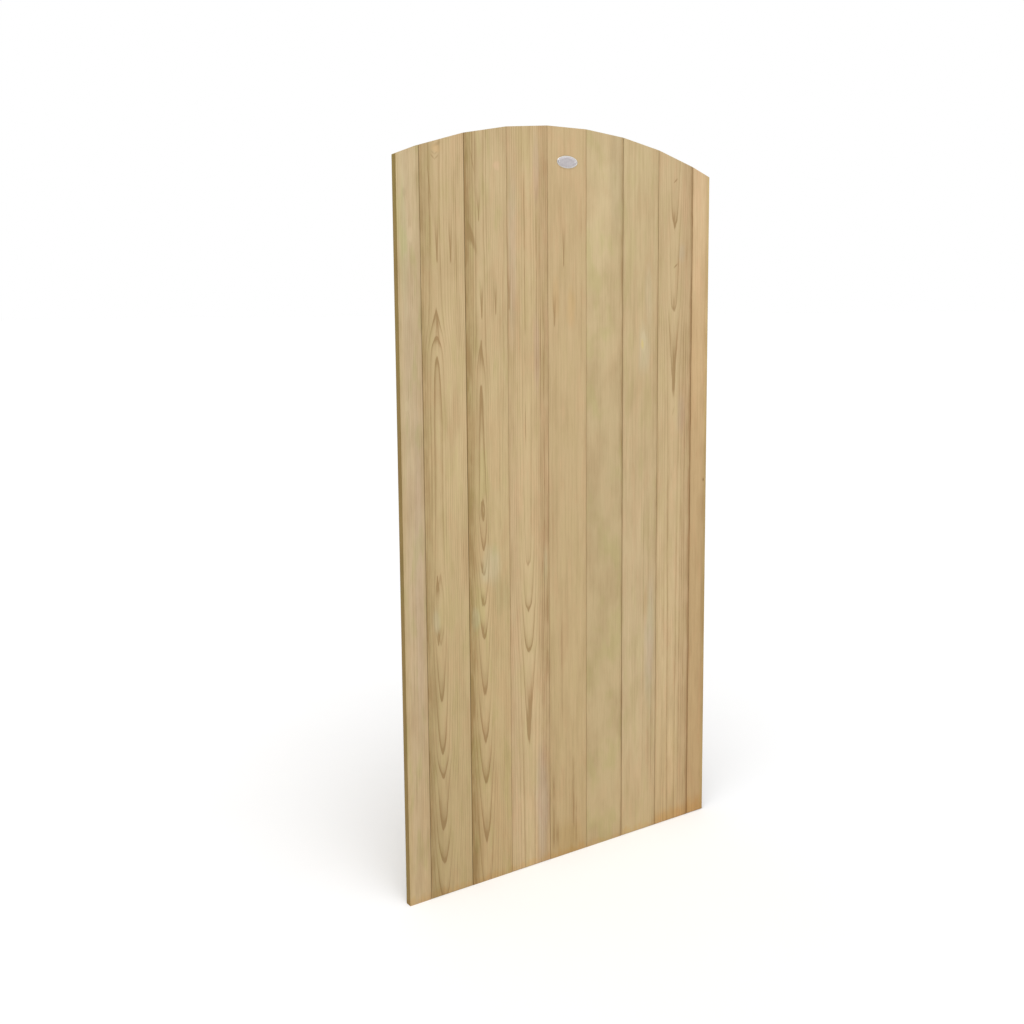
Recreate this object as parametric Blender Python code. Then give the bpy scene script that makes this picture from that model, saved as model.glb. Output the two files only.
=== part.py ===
"""Garden gate leaf: dome-topped tongue-and-groove boards on three ledges and two braces.

Metres, +Z up. The boarded front faces -Y and the ledged back faces +Y. The origin is at
the foot of the leaf, in the middle of its width and of its depth. The hinge side is -X.
"""

import math

import bmesh
import bpy
from mathutils import Vector

# Leaf
LEAF_WIDTH = 0.920
CROWN_HEIGHT = 1.800  # level top of the middle board
SHOULDER_HEIGHT = 1.710  # top of the two long edges
GAP = 0.0003  # clearance kept between pieces that touch

# Tongue-and-groove boards
BOARD_COVER = 0.115  # from joint to joint, the outer two are ripped to half of it
BOARD_THICK = 0.018
JOINT_OPENINGS = (0.0008, 0.0011, 0.0004, 0.0006, 0.0004, 0.0011, 0.0009, 0.0011)
FOOT_TRIMS = (0.0, 0.0006, 0.0, 0.0008, 0.0003, 0.0, 0.0007, 0.0009, 0.0014)
JOINT_CHAMFER = 0.0010
RIPPED_ARRIS = 0.0005
TONGUE_LENGTH = 0.0065
TONGUE_THICK = 0.0054
TONGUE_CHAMFER = 0.0010
TONGUE_BACK_RELIEF = 0.0006  # behind the tongue, so that the joint closes at the front
GROOVE_DEPTH = 0.0070

# Ledges and braces
TIMBER_WIDTH = 0.095
TIMBER_THICK = 0.028
TIMBER_ARRIS = 0.003
ARRIS_STEPS = 2
LEDGE_LENGTH = 0.880
LEDGE_HEIGHTS = {"bottom": 0.190, "middle": 0.880, "top": 1.570}
BRACE_SPAN = 0.840  # foot corner to head corner, across the leaf

# Countersunk wood screws, driven from the back
SCREW_LENGTH = 0.040
SCREW_RADIUS = 0.002
SCREW_HEAD_RADIUS = 0.004
SCREW_POINT = 0.006
SCREW_SINK = 0.0003  # head below the timber's face
RECESS_RADIUS = 0.0013
RECESS_DEPTH = 0.0014
SCREW_STAGGER = 0.022  # above and below a ledge's middle, by turns
SCREW_MARGIN = 0.020  # least distance to the end of a timber
CUTTER_OVERRUN = 0.001
SCREW_SIDES = 12

# Oval badge and its two pins
BADGE_HEIGHT = 1.720
BADGE_HALF_WIDTH = 0.030
BADGE_HALF_HEIGHT = 0.0145
BADGE_RIM = 0.0012
BADGE_PANEL = 0.0008
RIM_WIDTH = 0.0018
RIM_BEVEL = 0.0004
BADGE_SIDES = 40
PIN_OFFSET = 0.0235
PIN_RADIUS = 0.0008
PIN_HEAD_RADIUS = 0.0018
PIN_HEAD = 0.0007
PIN_DOME_ANGLES = (40.0, 65.0)  # from the head's axis to the rings of its dome
PIN_LENGTH = 0.0110
PIN_POINT = 0.0016
PIN_SIDES = 12

# Depths, from the front of the pin heads to the back of the ledges
BADGE_STAND = GAP + BADGE_PANEL + GAP + PIN_HEAD
LEAF_DEPTH = BADGE_STAND + BOARD_THICK + GAP + TIMBER_THICK
FRONT = BADGE_STAND - LEAF_DEPTH / 2  # front of the boards
BACK = FRONT + BOARD_THICK  # back of the boards
TIMBER_FRONT = BACK + GAP
TIMBER_BACK = TIMBER_FRONT + TIMBER_THICK

HALF_WIDTH = LEAF_WIDTH / 2
JOINTS = [
    -HALF_WIDTH + BOARD_COVER / 2 + number * BOARD_COVER
    for number in range(len(JOINT_OPENINGS))
]
BOARD_EDGES = [-HALF_WIDTH, *JOINTS, HALF_WIDTH]


def clear_scene():
    for obj in list(bpy.data.objects):
        bpy.data.objects.remove(obj)


def make_material(name, colour, roughness, metallic=0.0):
    material = bpy.data.materials.new(name)
    material.use_nodes = True
    shader = material.node_tree.nodes["Principled BSDF"]
    shader.inputs["Base Color"].default_value = (*colour, 1.0)
    shader.inputs["Roughness"].default_value = roughness
    shader.inputs["Metallic"].default_value = metallic
    return material


def add_object(name, mesh, material, place=(0.0, 0.0, 0.0), turn=(0.0, 0.0, 0.0)):
    obj = bpy.data.objects.new(name, mesh)
    if not mesh.materials:
        mesh.materials.append(material)
    obj.location = place
    obj.rotation_euler = turn
    bpy.context.scene.collection.objects.link(obj)
    return obj


def finish_mesh(name, bm):
    bmesh.ops.recalc_face_normals(bm, faces=bm.faces)
    mesh = bpy.data.meshes.new(name)
    bm.to_mesh(mesh)
    bm.free()
    return mesh


def prism(name, rails, cap_loops=None):
    """A closed bar through rails, one (start, end) pair of points per corner of its section.

    Each cap is one flat face, or one for each of cap_loops, which list corners by number.
    """
    bm = bmesh.new()
    starts = [bm.verts.new(start) for start, end in rails]
    ends = [bm.verts.new(end) for start, end in rails]
    for corner in range(len(rails)):
        following = (corner + 1) % len(rails)
        side = (starts[corner], starts[following], ends[following], ends[corner])
        bm.faces.new(side)
    for loop in cap_loops or [range(len(rails))]:
        bm.faces.new([starts[corner] for corner in loop])
        bm.faces.new([ends[corner] for corner in loop])
    return finish_mesh(name, bm)


def stacked_rings(bm, rings):
    """Joins rings of points in order and closes both ends: a single point makes a tip."""
    loops = [[bm.verts.new(point) for point in ring] for ring in rings]
    for lower, upper in zip(loops, loops[1:]):
        if len(lower) == 1:
            lower = lower * len(upper)
        if len(upper) == 1:
            upper = upper * len(lower)
        for corner in range(len(lower)):
            following = (corner + 1) % len(lower)
            side = (lower[corner], lower[following], upper[following], upper[corner])
            bm.faces.new(dict.fromkeys(side))
    for loop in (loops[0], loops[-1]):
        if len(loop) > 1:
            bm.faces.new(loop)


def oval_ring(half_width, half_height, level, sides):
    """Points of an oval in the plane at height level, or the one point of a tip."""
    if half_width == 0.0:
        return [Vector((0.0, 0.0, level))]
    angles = [math.tau * side / sides for side in range(sides)]
    return [
        Vector((half_width * math.cos(a), half_height * math.sin(a), level))
        for a in angles
    ]


def turned(name, profile, sides):
    """A round piece about +Z from (radius, level) points."""
    bm = bmesh.new()
    stacked_rings(bm, [oval_ring(radius, radius, level, sides) for radius, level in profile])
    mesh = finish_mesh(name, bm)
    mesh.shade_smooth()
    mesh.set_sharp_from_angle(angle=math.radians(40))
    return mesh


def cut_by(obj, cutter):
    modifier = obj.modifiers.new("Fastener holes", "BOOLEAN")
    modifier.operation = "DIFFERENCE"
    modifier.object = cutter


def even_triangles(obj):
    """Splits the long faces around their holes into well-shaped triangles."""
    modifier = obj.modifiers.new("Even triangles", "TRIANGULATE")
    modifier.ngon_method = "BEAUTY"
    modifier.quad_method = "BEAUTY"


# Boards


def arc_height(x):
    """Height at x of the arc through the middle board's top corners and both shoulders."""
    near = BOARD_COVER / 2
    rise = CROWN_HEIGHT - SHOULDER_HEIGHT
    above_centre = (HALF_WIDTH**2 - near**2 + rise**2) / (2 * rise)
    radius = math.hypot(near, above_centre)
    return CROWN_HEIGHT - above_centre + math.sqrt(radius**2 - x**2)


def top_height(x):
    """Height at x of the leaf's top, which is sawn straight across each board."""
    right = next((edge for edge in BOARD_EDGES[1:] if x <= edge), HALF_WIDTH)
    left = BOARD_EDGES[BOARD_EDGES.index(right) - 1]
    share = (x - left) / (right - left)
    return arc_height(left) + share * (arc_height(right) - arc_height(left))


def groove_side(edge, opening):
    """Left side of a board, from its back to its front."""
    middle = FRONT + BOARD_THICK / 2
    reach = TONGUE_THICK / 2 + GAP
    side = edge + opening / 2
    return [
        (side, BACK),
        (side, middle + reach),
        (side + GROOVE_DEPTH, middle + reach),
        (side + GROOVE_DEPTH, middle - reach),
        (side, middle - reach),
        (side, FRONT + JOINT_CHAMFER),
        (side + JOINT_CHAMFER, FRONT),
    ]


def tongue_side(edge, opening):
    """Right side of a board, from its front to its back."""
    middle = FRONT + BOARD_THICK / 2
    reach = TONGUE_THICK / 2
    side = edge - opening / 2
    relieved = side - TONGUE_BACK_RELIEF
    tip = side + TONGUE_LENGTH
    return [
        (side - JOINT_CHAMFER, FRONT),
        (side, FRONT + JOINT_CHAMFER),
        (side, middle - reach),
        (tip - TONGUE_CHAMFER, middle - reach),
        (tip, middle - reach + TONGUE_CHAMFER),
        (tip, middle + reach - TONGUE_CHAMFER),
        (tip - TONGUE_CHAMFER, middle + reach),
        (relieved, middle + reach),
        (relieved, BACK),
    ]


TONGUE_ROOTS = (2, 7)  # the front and back corners of tongue_side where the tongue starts


def ripped_side(edge, inwards):
    """Plain sawn side of an outer board, from its front to its back."""
    return [
        (edge + inwards * RIPPED_ARRIS, FRONT),
        (edge, FRONT + RIPPED_ARRIS),
        (edge, BACK - RIPPED_ARRIS),
        (edge + inwards * RIPPED_ARRIS, BACK),
    ]


def make_board(number, material):
    """Board number from the left. A tongue's end is a face of its own, beside the body's."""
    left, right = BOARD_EDGES[number : number + 2]
    if number == 0:
        outline = ripped_side(left, 1)[::-1]
    else:
        outline = groove_side(left, JOINT_OPENINGS[number - 1])
    body = list(range(len(outline)))
    cap_loops = [body]
    if number == len(JOINTS):
        outline += ripped_side(right, -1)
        body += range(len(body), len(outline))
    else:
        shoulder, heel = [len(outline) + root for root in TONGUE_ROOTS]
        outline += tongue_side(right, JOINT_OPENINGS[number])
        body += [*range(len(body), shoulder + 1), *range(heel, len(outline))]
        cap_loops.append(range(shoulder, heel + 1))
    foot = FOOT_TRIMS[number]
    rails = [(Vector((x, y, foot)), Vector((x, y, top_height(x)))) for x, y in outline]
    name = f"board_{number + 1}"
    return add_object(name, prism(name, rails, cap_loops), material)


# Ledges and braces


def timber_section():
    """(across, depth) corners of a timber with eased arrises, about its middle."""
    outline = []
    corners = ((1, 1), (-1, 1), (-1, -1), (1, -1))
    for quarter, (side, face) in enumerate(corners):
        across = side * (TIMBER_WIDTH / 2 - TIMBER_ARRIS)
        depth = face * (TIMBER_THICK / 2 - TIMBER_ARRIS)
        for step in range(ARRIS_STEPS + 1):
            angle = math.pi / 2 * (quarter + step / ARRIS_STEPS)
            outline.append(
                (
                    across + TIMBER_ARRIS * math.cos(angle),
                    depth + TIMBER_ARRIS * math.sin(angle),
                )
            )
    return outline


def timber_place(height):
    return (0.0, TIMBER_FRONT + TIMBER_THICK / 2, height)


def make_ledge(level, material):
    half = LEDGE_LENGTH / 2
    rails = [
        (Vector((-half, depth, across)), Vector((half, depth, across)))
        for across, depth in timber_section()
    ]
    name = f"ledge_{level}"
    return add_object(name, prism(name, rails), material, timber_place(LEDGE_HEIGHTS[level]))


def brace_geometry(lower, upper):
    """Middle height, clear rise between two ledges, and the angle of a brace that fills it."""
    low = LEDGE_HEIGHTS[lower] + TIMBER_WIDTH / 2 + GAP
    high = LEDGE_HEIGHTS[upper] - TIMBER_WIDTH / 2 - GAP
    rise = high - low
    diagonal = math.hypot(BRACE_SPAN, rise)
    angle = math.atan2(rise, BRACE_SPAN) + math.asin(TIMBER_WIDTH / diagonal)
    return (low + high) / 2, rise, angle


def make_brace(name, lower, upper, material):
    """A diagonal that rises away from the hinge side, its ends sawn level against the ledges."""
    middle, rise, angle = brace_geometry(lower, upper)
    along = Vector((math.cos(angle), 0.0, math.sin(angle)))
    over = Vector((-math.sin(angle), 0.0, math.cos(angle)))
    rails = []
    for across, depth in timber_section():
        line = over * across + Vector((0.0, depth, 0.0))
        to_foot = (-rise / 2 - line.z) / along.z
        to_head = (rise / 2 - line.z) / along.z
        rails.append((line + along * to_foot, line + along * to_head))
    return add_object(name, prism(name, rails), material, timber_place(middle))


# Fasteners


def limited(value, limit):
    return max(-limit, min(limit, value))


def ledge_screw_places():
    """Names and (x, z) places, one screw per board on each ledge, high and low by turns."""
    centres = [(a + b) / 2 for a, b in zip(BOARD_EDGES, BOARD_EDGES[1:])]
    places = {}
    for row, (level, height) in enumerate(LEDGE_HEIGHTS.items()):
        for number, centre in enumerate(centres):
            x = limited(centre, LEDGE_LENGTH / 2 - SCREW_MARGIN)
            up = SCREW_STAGGER if (row + number) % 2 else -SCREW_STAGGER
            places[f"screw_{level}_ledge_{number + 1}"] = (x, height + up)
    return places


def brace_screw_places(name, lower, upper):
    """Names and (x, z) places along a brace's middle line, one screw per full board."""
    middle, rise, angle = brace_geometry(lower, upper)
    slope = math.tan(angle)
    reach = (rise / 2 - SCREW_MARGIN) / slope
    places = {}
    for number in range(1, len(JOINTS)):
        centre = (BOARD_EDGES[number] + BOARD_EDGES[number + 1]) / 2
        x = limited(centre, reach)
        places[f"screw_{name}_{number + 1}"] = (x, middle + x * slope)
    return places


def screw_profile():
    """(radius, level) from the drive recess to the point, with level 0 at the head's face."""
    cone = SCREW_HEAD_RADIUS - SCREW_RADIUS  # a 90 degree countersink is as deep as it is wide
    return [
        (0.0, -RECESS_DEPTH),
        (RECESS_RADIUS, 0.0),
        (SCREW_HEAD_RADIUS, 0.0),
        (SCREW_RADIUS, -cone),
        (SCREW_RADIUS, SCREW_POINT - SCREW_LENGTH),
        (0.0, -SCREW_LENGTH),
    ]


def screw_hole_profile():
    """The screw's outline, larger all round by GAP, open past the timber's face."""
    cone = SCREW_HEAD_RADIUS - SCREW_RADIUS
    slant = GAP * math.sqrt(2)
    mouth = SCREW_SINK + CUTTER_OVERRUN
    bore = SCREW_RADIUS + GAP
    return [
        (0.0, mouth),
        (SCREW_HEAD_RADIUS + slant + mouth, mouth),
        (bore, GAP - slant - cone),
        (bore, -SCREW_LENGTH - GAP),
        (0.0, -SCREW_LENGTH - GAP),
    ]


def pin_profile():
    """(radius, level) of a badge pin, with level 0 under its domed head."""
    dome = []
    for degrees in PIN_DOME_ANGLES:
        angle = math.radians(degrees)
        dome.append((PIN_HEAD_RADIUS * math.sin(angle), PIN_HEAD * math.cos(angle)))
    return [
        (0.0, PIN_HEAD),
        *dome,
        (PIN_HEAD_RADIUS, 0.0),
        (PIN_RADIUS, 0.0),
        (PIN_RADIUS, PIN_POINT - PIN_LENGTH),
        (0.0, -PIN_LENGTH),
    ]


def pin_hole_profile():
    bore = PIN_RADIUS + GAP
    mouth = PIN_HEAD + CUTTER_OVERRUN
    bottom = -PIN_LENGTH - GAP
    return [(0.0, mouth), (bore, mouth), (bore, bottom), (0.0, bottom)]


TO_BACK = (-math.pi / 2, 0.0, 0.0)  # turns a piece's +Z to the leaf's back
TO_FRONT = (math.pi / 2, 0.0, 0.0)  # and to its front


def make_cutter(name, mesh, places, turn, material):
    """One hidden object that holds a copy of mesh at each place."""
    copies = []
    for place in places:
        copies.append(add_object(name, mesh.copy(), material, place, turn))
    bpy.context.view_layer.update()
    bm = bmesh.new()
    for copy in copies:
        part = copy.data
        part.transform(copy.matrix_world)
        bm.from_mesh(part)
    joined = finish_mesh(name, bm)
    for copy in copies:
        bpy.data.objects.remove(copy)
    cutter = add_object(name, joined, material)
    cutter.hide_render = True
    cutter.display_type = "WIRE"
    return cutter


def make_screws(places, material):
    """The screws, and the cutter for their holes."""
    face = TIMBER_BACK - SCREW_SINK
    mesh = turned("screw", screw_profile(), SCREW_SIDES)
    for name, (x, z) in places.items():
        add_object(name, mesh, material, (x, face, z), TO_BACK)
    hole = turned("screw_hole", screw_hole_profile(), SCREW_SIDES)
    points = [(x, face, z) for x, z in places.values()]
    return make_cutter("screw_holes", hole, points, TO_BACK, material)


def make_pins(material):
    """The badge's pins, and the cutter for their holes."""
    seat = FRONT - GAP - BADGE_PANEL - GAP
    mesh = turned("badge_pin", pin_profile(), PIN_SIDES)
    places = {
        "badge_pin_left": (-PIN_OFFSET, seat, BADGE_HEIGHT),
        "badge_pin_right": (PIN_OFFSET, seat, BADGE_HEIGHT),
    }
    for name, place in places.items():
        add_object(name, mesh, material, place, TO_FRONT)
    hole = turned("pin_hole", pin_hole_profile(), PIN_SIDES)
    return make_cutter("pin_holes", hole, places.values(), TO_FRONT, material)


def make_badge(material):
    """A blank oval plate with a raised rim."""
    rings = (
        (0.0, 0.0),
        (0.0, BADGE_RIM - RIM_BEVEL),
        (RIM_BEVEL, BADGE_RIM),
        (RIM_WIDTH, BADGE_RIM),
        (RIM_WIDTH + RIM_BEVEL, BADGE_PANEL),
    )
    bm = bmesh.new()
    ovals = [
        oval_ring(BADGE_HALF_WIDTH - inset, BADGE_HALF_HEIGHT - inset, level, BADGE_SIDES)
        for inset, level in rings
    ]
    stacked_rings(bm, ovals)
    mesh = finish_mesh("badge", bm)
    mesh.shade_smooth()
    mesh.set_sharp_from_angle(angle=math.radians(30))
    return add_object("badge", mesh, material, (0.0, FRONT - GAP, BADGE_HEIGHT), TO_FRONT)


def main():
    clear_scene()
    board_wood = make_material("board_wood", (0.565, 0.429, 0.234), 0.75)
    timber_wood = make_material("timber_wood", (0.520, 0.390, 0.200), 0.80)
    zinc = make_material("zinc_plate", (0.600, 0.560, 0.440), 0.35, 1.0)
    badge_metal = make_material("badge_metal", (0.560, 0.540, 0.550), 0.35, 1.0)

    boards = [make_board(number, board_wood) for number in range(len(BOARD_EDGES) - 1)]
    ledges = [make_ledge(level, timber_wood) for level in LEDGE_HEIGHTS]
    brace_spans = {
        "lower_brace": ("bottom", "middle"),
        "upper_brace": ("middle", "top"),
    }
    braces = [
        make_brace(name, lower, upper, timber_wood)
        for name, (lower, upper) in brace_spans.items()
    ]

    places = ledge_screw_places()
    for name, (lower, upper) in brace_spans.items():
        places.update(brace_screw_places(name, lower, upper))
    screw_holes = make_screws(places, zinc)
    for piece in boards + ledges + braces:
        cut_by(piece, screw_holes)

    pin_holes = make_pins(badge_metal)
    badge = make_badge(badge_metal)
    middle_board = boards[len(boards) // 2]
    for piece in (badge, middle_board):
        cut_by(piece, pin_holes)
    for piece in boards + ledges + braces:
        even_triangles(piece)


main()
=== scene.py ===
"""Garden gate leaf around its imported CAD: boards, ledges, braces, screws and a small badge.

Metres, +Z up, the boarded front faces -Y. Millimetres are used only across the grain inside
the wood shader, and in names that end in _MM.
"""

import math
import random

import bmesh
import bpy
from mathutils import Matrix, Vector


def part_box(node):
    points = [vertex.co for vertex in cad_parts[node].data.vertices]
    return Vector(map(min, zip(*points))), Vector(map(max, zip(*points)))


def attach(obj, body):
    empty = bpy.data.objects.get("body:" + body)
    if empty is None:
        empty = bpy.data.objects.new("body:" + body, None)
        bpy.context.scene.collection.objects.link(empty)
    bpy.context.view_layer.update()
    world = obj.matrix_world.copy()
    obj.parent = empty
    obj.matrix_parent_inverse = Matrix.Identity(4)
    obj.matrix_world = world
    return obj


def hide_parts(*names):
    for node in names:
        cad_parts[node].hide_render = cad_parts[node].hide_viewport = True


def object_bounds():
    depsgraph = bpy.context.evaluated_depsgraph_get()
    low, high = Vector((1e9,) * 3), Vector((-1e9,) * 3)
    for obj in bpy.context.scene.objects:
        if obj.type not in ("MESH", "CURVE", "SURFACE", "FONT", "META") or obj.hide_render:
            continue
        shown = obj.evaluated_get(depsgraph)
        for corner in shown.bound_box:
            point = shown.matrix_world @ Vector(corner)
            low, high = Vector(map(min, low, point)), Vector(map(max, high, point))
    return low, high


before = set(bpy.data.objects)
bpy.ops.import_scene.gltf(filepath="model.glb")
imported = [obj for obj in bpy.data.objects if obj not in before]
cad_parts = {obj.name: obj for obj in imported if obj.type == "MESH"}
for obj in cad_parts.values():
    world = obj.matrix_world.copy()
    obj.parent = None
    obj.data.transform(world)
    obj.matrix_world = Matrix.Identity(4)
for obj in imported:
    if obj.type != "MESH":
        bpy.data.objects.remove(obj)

cad_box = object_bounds()

MM = 0.001
BODY = "root"

# Sizes that the CAD boxes don't give
SHOULDER_HEIGHT = 1.710
BOARD_COVER = 0.115
JOINT_ROUNDING = 1.0 * MM
RIPPED_ROUNDING = 0.6 * MM
TONGUE_LENGTH = 6.5 * MM
TONGUE_THICK = 5.4 * MM
TONGUE_CHAMFER = 1.0 * MM
TONGUE_RELIEF = 0.6 * MM
GROOVE_DEPTH = 7.0 * MM
GAP = 0.3 * MM
SAWN_ARRIS = 0.5 * MM
TIMBER_ARRIS = 3.0 * MM
TIMBER_END_ARRIS = 0.8 * MM
ROUNDING_STEPS = 4

SCREW_LENGTH = 40.0 * MM
SCREW_HEAD_RADIUS = 4.0 * MM
SCREW_SHANK_RADIUS = 2.0 * MM
SCREW_CORE_RADIUS = 1.45 * MM
SCREW_PITCH = 2.2 * MM
SCREW_THREAD = 26.0 * MM
SCREW_POINT = 5.0 * MM
SCREW_HOLE_SLACK = 0.3 * MM
THREAD_STEPS = 5  # rings of vertices in a turn
THREAD_START_STEPS = 4  # rings over which it grows to full height
SCREW_TURN_SEED = 41
RECESS_REACH = 2.1 * MM
RECESS_ARM = 0.55 * MM
RECESS_DEPTH = 1.6 * MM
HOLE_OVERRUN = 1.0 * MM
HOLE_SIDES = 32

PIN_RADIUS = 0.8 * MM
PIN_HEAD_RADIUS = 1.8 * MM
PIN_HEAD = 0.7 * MM
PIN_POINT = 1.6 * MM
PIN_SIDES = 32

LOW, HIGH = cad_box
BOARD_NAMES, LEDGE_NAMES, SCREW_NAMES, PIN_NAMES = [
    sorted(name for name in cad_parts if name.startswith(start))
    for start in ("board_", "ledge_", "screw_", "badge_pin_")
]
BRACE_NAMES = sorted(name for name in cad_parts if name.endswith("_brace"))
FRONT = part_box("board_1")[0].y
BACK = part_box("board_1")[1].y
CROWN_HEIGHT = HIGH.z


# Mesh helpers


def finish_mesh(name, bm):
    bmesh.ops.recalc_face_normals(bm, faces=bm.faces)
    mesh = bpy.data.meshes.new(name)
    bm.to_mesh(mesh)
    bm.free()
    return mesh


def smooth(mesh, sharp_degrees):
    mesh.shade_smooth()
    mesh.set_sharp_from_angle(angle=math.radians(sharp_degrees))
    return mesh


def even_shading(obj):
    """Keeps flat faces flat beside their rounded arrises."""
    modifier = obj.modifiers.new("Even shading", "WEIGHTED_NORMAL")
    modifier.keep_sharp = True


def add_object(name, data):
    obj = bpy.data.objects.new(name, data)
    bpy.context.scene.collection.objects.link(obj)
    return obj


def make_piece(name, mesh, nodes, materials):
    """A visible piece on the gate's one body, which stands for these CAD nodes."""
    for material in materials:
        mesh.materials.append(material)
    obj = add_object(name, mesh)
    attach(obj, BODY)
    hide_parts(*nodes)
    return obj


def middle_at(low, high, y):
    """The middle of a box, seen from the front or back, at depth y."""
    return Vector(((low.x + high.x) / 2, y, (low.z + high.z) / 2))


def arc_points(centre, radius, start, end, steps):
    """Points of a round from start to end, in degrees."""
    points = []
    for step in range(steps + 1):
        angle = math.radians(start + (end - start) * step / steps)
        points.append(
            (centre[0] + radius * math.cos(angle), centre[1] + radius * math.sin(angle))
        )
    return points


def bar(name, rails, cap_loops, arris):
    """A closed bar through (start, end) rails, with the edges round each end eased."""
    bm = bmesh.new()
    starts = [bm.verts.new(start) for start, end in rails]
    ends = [bm.verts.new(end) for start, end in rails]
    rims = []
    for corner in range(len(rails)):
        following = (corner + 1) % len(rails)
        bm.faces.new((starts[corner], starts[following], ends[following], ends[corner]))
        for ring in (starts, ends):
            rims.append(bm.edges.get((ring[corner], ring[following])))
    for loop in cap_loops:
        for ring in (starts, ends):
            bm.faces.new([ring[corner] for corner in loop])
    bmesh.ops.recalc_face_normals(bm, faces=bm.faces)
    bmesh.ops.bevel(
        bm, geom=rims, offset=arris, offset_type="OFFSET", segments=2, profile=0.5,
        affect="EDGES", clamp_overlap=True,
    )
    return smooth(finish_mesh(name, bm), 40)


def oval_ring(bm, wide, high, level, sides):
    """Vertices round an oval about +Z, or one vertex where it has no width."""
    if wide == 0.0:
        return [bm.verts.new((0.0, 0.0, level))]
    turns = [math.tau * side / sides for side in range(sides)]
    return [bm.verts.new((wide * math.cos(a), high * math.sin(a), level)) for a in turns]


def lathe(profile, sides):
    """A closed round mesh about +Z from (radius, level) points."""
    bm = bmesh.new()
    join_rings(bm, [oval_ring(bm, radius, radius, level, sides) for radius, level in profile])
    return bm


def join_rings(bm, rings):
    """Faces between rings of the same size, or between a ring and a tip."""
    for lower, upper in zip(rings, rings[1:]):
        sides = max(len(lower), len(upper))
        lower = lower * (sides // len(lower))
        upper = upper * (sides // len(upper))
        for corner in range(sides):
            following = (corner + 1) % sides
            side = (lower[corner], lower[following], upper[following], upper[corner])
            bm.faces.new(dict.fromkeys(side))


# Shader helpers


class Graph:
    """Short calls for the nodes of one material."""

    def __init__(self, name):
        self.material = bpy.data.materials.new(name)
        self.material.use_nodes = True
        self.tree = self.material.node_tree
        self.shader = self.tree.nodes["Principled BSDF"]
        self.place = self.node("TexCoord").outputs["Object"]
        self.normal = self.node("NewGeometry").outputs["Normal"]

    def node(self, kind, **settings):
        node = self.tree.nodes.new("ShaderNode" + kind)
        for name, value in settings.items():
            setattr(node, name, value)
        return node

    def feed(self, socket, value):
        if isinstance(value, bpy.types.NodeSocket):
            self.tree.links.new(value, socket)
        else:
            socket.default_value = value

    def surface(self, name, value):
        self.feed(self.shader.inputs[name], value)

    def math(self, operation, a, b=0.0, c=0.0, clamp=False):
        node = self.node("Math", operation=operation, use_clamp=clamp)
        for socket, value in zip(node.inputs, (a, b, c)):
            self.feed(socket, value)
        return node.outputs[0]

    def add(self, a, b):
        return self.math("ADD", a, b)

    def times(self, a, b):
        return self.math("MULTIPLY", a, b)

    def minus(self, a, b):
        return self.math("SUBTRACT", a, b)

    def length(self, a, b):
        return self.math("SQRT", self.add(self.times(a, a), self.times(b, b)))

    def vector(self, operation, a, b, c=(0.0, 0.0, 0.0)):
        node = self.node("VectorMath", operation=operation)
        for socket, value in zip(node.inputs, (a, b, c)):
            self.feed(socket, value)
        return node.outputs["Value" if operation == "DOT_PRODUCT" else "Vector"]

    def noise(self, place, detail=2.0, roughness=0.5):
        """Noise about 0.5."""
        node = self.node("TexNoise")
        given = {"Vector": place, "Scale": 1.0, "Detail": detail, "Roughness": roughness}
        for name, value in given.items():
            self.feed(node.inputs[name], value)
        return node.outputs["Fac"]

    def swing(self, place, amount, detail=2.0, roughness=0.5):
        """Noise about zero, most of it within amount / 2 either way."""
        return self.times(self.minus(self.noise(place, detail, roughness), 0.5), amount)

    def fade(self, value, start, end):
        """0 to 1 as value goes from start to end, smooth at both."""
        node = self.node("MapRange", interpolation_type="SMOOTHSTEP")
        ends = (start, end, 0.0, 1.0) if start < end else (end, start, 1.0, 0.0)
        for socket, given in zip(node.inputs, (value, *ends)):
            self.feed(socket, given)
        return node.outputs["Result"]

    def ramp(self, value, stops):
        """Colour along (position, colour) stops."""
        node = self.node("ValToRGB")
        points = node.color_ramp.elements
        while len(points) < len(stops):
            points.new(0.5)
        for point, (position, colour) in zip(points, stops):
            point.position = position
            point.color = (*colour, 1.0)
        self.feed(node.inputs["Fac"], value)
        return node.outputs["Color"]

    def curve(self, value, points):
        """A smooth curve through points, each from 0 to 1."""
        node = self.node("FloatCurve")
        line = node.mapping.curves[0]
        while len(line.points) < len(points):
            line.points.new(0.5, 0.5)
        for point, place in zip(line.points, points):
            point.location = place
        node.mapping.update()
        self.feed(node.inputs["Value"], value)
        return node.outputs["Value"]

    def mix(self, share, a, b, kind="MIX"):
        node = self.node("Mix", data_type="RGBA", blend_type=kind)
        for name, value in (("Factor_Float", share), ("A_Color", a), ("B_Color", b)):
            socket = next(i for i in node.inputs if i.identifier == name)
            if isinstance(value, tuple):
                value = (*value, 1.0)
            self.feed(socket, value)
        return next(o for o in node.outputs if o.identifier == "Result_Color")

    def tinge(self, base, share, colour):
        """The base colour, multiplied by colour as far as share says."""
        return self.mix(share, base, colour, "MULTIPLY")

    def plus(self, base, part, share):
        return self.add(base, self.times(part, share))

    def bump(self, height, depth, strength):
        """Surface relief of this depth in metres where height goes from 0 to 1."""
        node = self.node("Bump")
        for name, value in (("Strength", strength), ("Distance", depth), ("Height", height)):
            self.feed(node.inputs[name], value)
        self.surface("Normal", node.outputs["Normal"])


# Wood

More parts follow.
